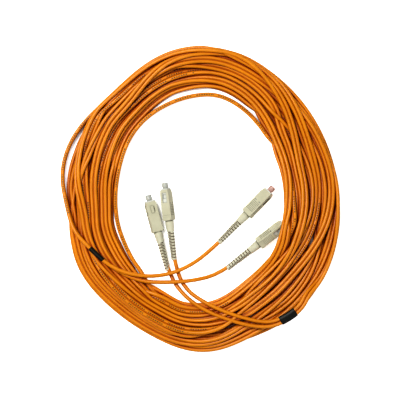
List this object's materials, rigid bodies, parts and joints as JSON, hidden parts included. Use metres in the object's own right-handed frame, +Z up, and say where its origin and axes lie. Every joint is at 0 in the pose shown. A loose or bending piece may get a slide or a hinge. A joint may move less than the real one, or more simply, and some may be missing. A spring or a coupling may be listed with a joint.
{
  "type": "fiber optic patch cord",
  "caption": "Duplex fibre optic patch cord in a loose coil, with a square push-pull plug, slotted boot and dust cap on each leg.",
  "frame": {"origin": "on the surface that the cord lies on, under the middle of the box round the four connectors, which lie in the hole of the coil", "axes": "+Z up from the surface; +Y towards the far side of the coil, the way the connector pair 1 and 2 points; +X to the right, the side that connectors 3 and 4 point to"},
  "size_m": [0.2192, 0.2402, 0.0152],
  "materials": {
    "grip": "moulded beige plastic, fine matt texture",
    "boot": "moulded beige elastomer, satin",
    "plug_frame": "white moulded plastic, satin",
    "dust_cap_grey": "translucent grey-white soft plastic",
    "dust_cap_rose": "translucent rose soft plastic",
    "ceramic": "polished white zirconia",
    "stop_metal": "nickel-plated brass",
    "crimp_metal": "dull crimped metal",
    "spring_steel": "drawn spring wire",
    "fibre_buffer": "tight buffer coating",
    "cord_jacket": "orange cable jacket, satin, with fine dark print marks",
    "heat_shrink": "black heat-shrink tubing, soft gloss"
  },
  "bodies": {
    "cord": {"connector_1_boot": "boot", "connector_1_crimp_sleeve": "crimp_metal", "connector_1_spring_stop": "stop_metal", "connector_1_spring": "spring_steel", "connector_1_plug_frame": "plug_frame", "connector_1_buffered_fibre": "fibre_buffer", "connector_2_boot": "boot", "connector_2_crimp_sleeve": "crimp_metal", "connector_2_spring_stop": "stop_metal", "connector_2_spring": "spring_steel", "connector_2_plug_frame": "plug_frame", "connector_2_buffered_fibre": "fibre_buffer", "connector_3_boot": "boot", "connector_3_crimp_sleeve": "crimp_metal", "connector_3_spring_stop": "stop_metal", "connector_3_spring": "spring_steel", "connector_3_plug_frame": "plug_frame", "connector_3_buffered_fibre": "fibre_buffer", "connector_4_boot": "boot", "connector_4_crimp_sleeve": "crimp_metal", "connector_4_spring_stop": "stop_metal", "connector_4_spring": "spring_steel", "connector_4_plug_frame": "plug_frame", "connector_4_buffered_fibre": "fibre_buffer", "cord_coil": "cord_jacket", "cord_leg_1": "cord_jacket", "cord_leg_2": "cord_jacket", "cord_leg_3": "cord_jacket", "cord_leg_4": "cord_jacket", "heat_shrink_sleeve_1": "heat_shrink", "heat_shrink_sleeve_2": "heat_shrink"},
    "grip_1": {"connector_1_grip": "grip"},
    "ferrule_1": {"connector_1_ferrule": "ceramic", "connector_1_ferrule_flange": "stop_metal"},
    "dust_cap_1": {"connector_1_dust_cap": "dust_cap_grey"},
    "grip_2": {"connector_2_grip": "grip"},
    "ferrule_2": {"connector_2_ferrule": "ceramic", "connector_2_ferrule_flange": "stop_metal"},
    "dust_cap_2": {"connector_2_dust_cap": "dust_cap_grey"},
    "grip_3": {"connector_3_grip": "grip"},
    "ferrule_3": {"connector_3_ferrule": "ceramic", "connector_3_ferrule_flange": "stop_metal"},
    "dust_cap_3": {"connector_3_dust_cap": "dust_cap_rose"},
    "grip_4": {"connector_4_grip": "grip"},
    "ferrule_4": {"connector_4_ferrule": "ceramic", "connector_4_ferrule_flange": "stop_metal"},
    "dust_cap_4": {"connector_4_dust_cap": "dust_cap_rose"}
  },
  "joints": [
    {"name": "grip_1_slide", "type": "slide", "parent": "cord", "child": "grip_1", "axis": [-0.2588, 0.9659, 0], "range_m": [-0.0018, 0]},
    {"name": "ferrule_1_float", "type": "slide", "parent": "cord", "child": "ferrule_1", "axis": [-0.2588, 0.9659, 0], "range_m": [-0.001, 0], "stiffness_N_per_m": 2600, "springref_m": 0.003, "deforming": ["connector_1_spring"]},
    {"name": "dust_cap_1_pull", "type": "slide", "parent": "ferrule_1", "child": "dust_cap_1", "axis": [-0.2588, 0.9659, 0], "range_m": [0, 0.012]},
    {"name": "grip_2_slide", "type": "slide", "parent": "cord", "child": "grip_2", "axis": [-0.1219, 0.9925, 0], "range_m": [-0.0018, 0]},
    {"name": "ferrule_2_float", "type": "slide", "parent": "cord", "child": "ferrule_2", "axis": [-0.1219, 0.9925, 0], "range_m": [-0.001, 0], "stiffness_N_per_m": 2600, "springref_m": 0.003, "deforming": ["connector_2_spring"]},
    {"name": "dust_cap_2_pull", "type": "slide", "parent": "ferrule_2", "child": "dust_cap_2", "axis": [-0.1219, 0.9925, 0], "range_m": [0, 0.012]},
    {"name": "grip_3_slide", "type": "slide", "parent": "cord", "child": "grip_3", "axis": [0.7009, 0.7133, 0], "range_m": [-0.0018, 0]},
    {"name": "ferrule_3_float", "type": "slide", "parent": "cord", "child": "ferrule_3", "axis": [0.7009, 0.7133, 0], "range_m": [-0.001, 0], "stiffness_N_per_m": 2600, "springref_m": 0.003, "deforming": ["connector_3_spring"]},
    {"name": "dust_cap_3_pull", "type": "slide", "parent": "ferrule_3", "child": "dust_cap_3", "axis": [0.7009, 0.7133, 0], "range_m": [0, 0.012]},
    {"name": "grip_4_slide", "type": "slide", "parent": "cord", "child": "grip_4", "axis": [0.788, 0.6157, 0], "range_m": [-0.0018, 0]},
    {"name": "ferrule_4_float", "type": "slide", "parent": "cord", "child": "ferrule_4", "axis": [0.788, 0.6157, 0], "range_m": [-0.001, 0], "stiffness_N_per_m": 2600, "springref_m": 0.003, "deforming": ["connector_4_spring"]},
    {"name": "dust_cap_4_pull", "type": "slide", "parent": "ferrule_4", "child": "dust_cap_4", "axis": [0.788, 0.6157, 0], "range_m": [0, 0.012]}
  ]
}
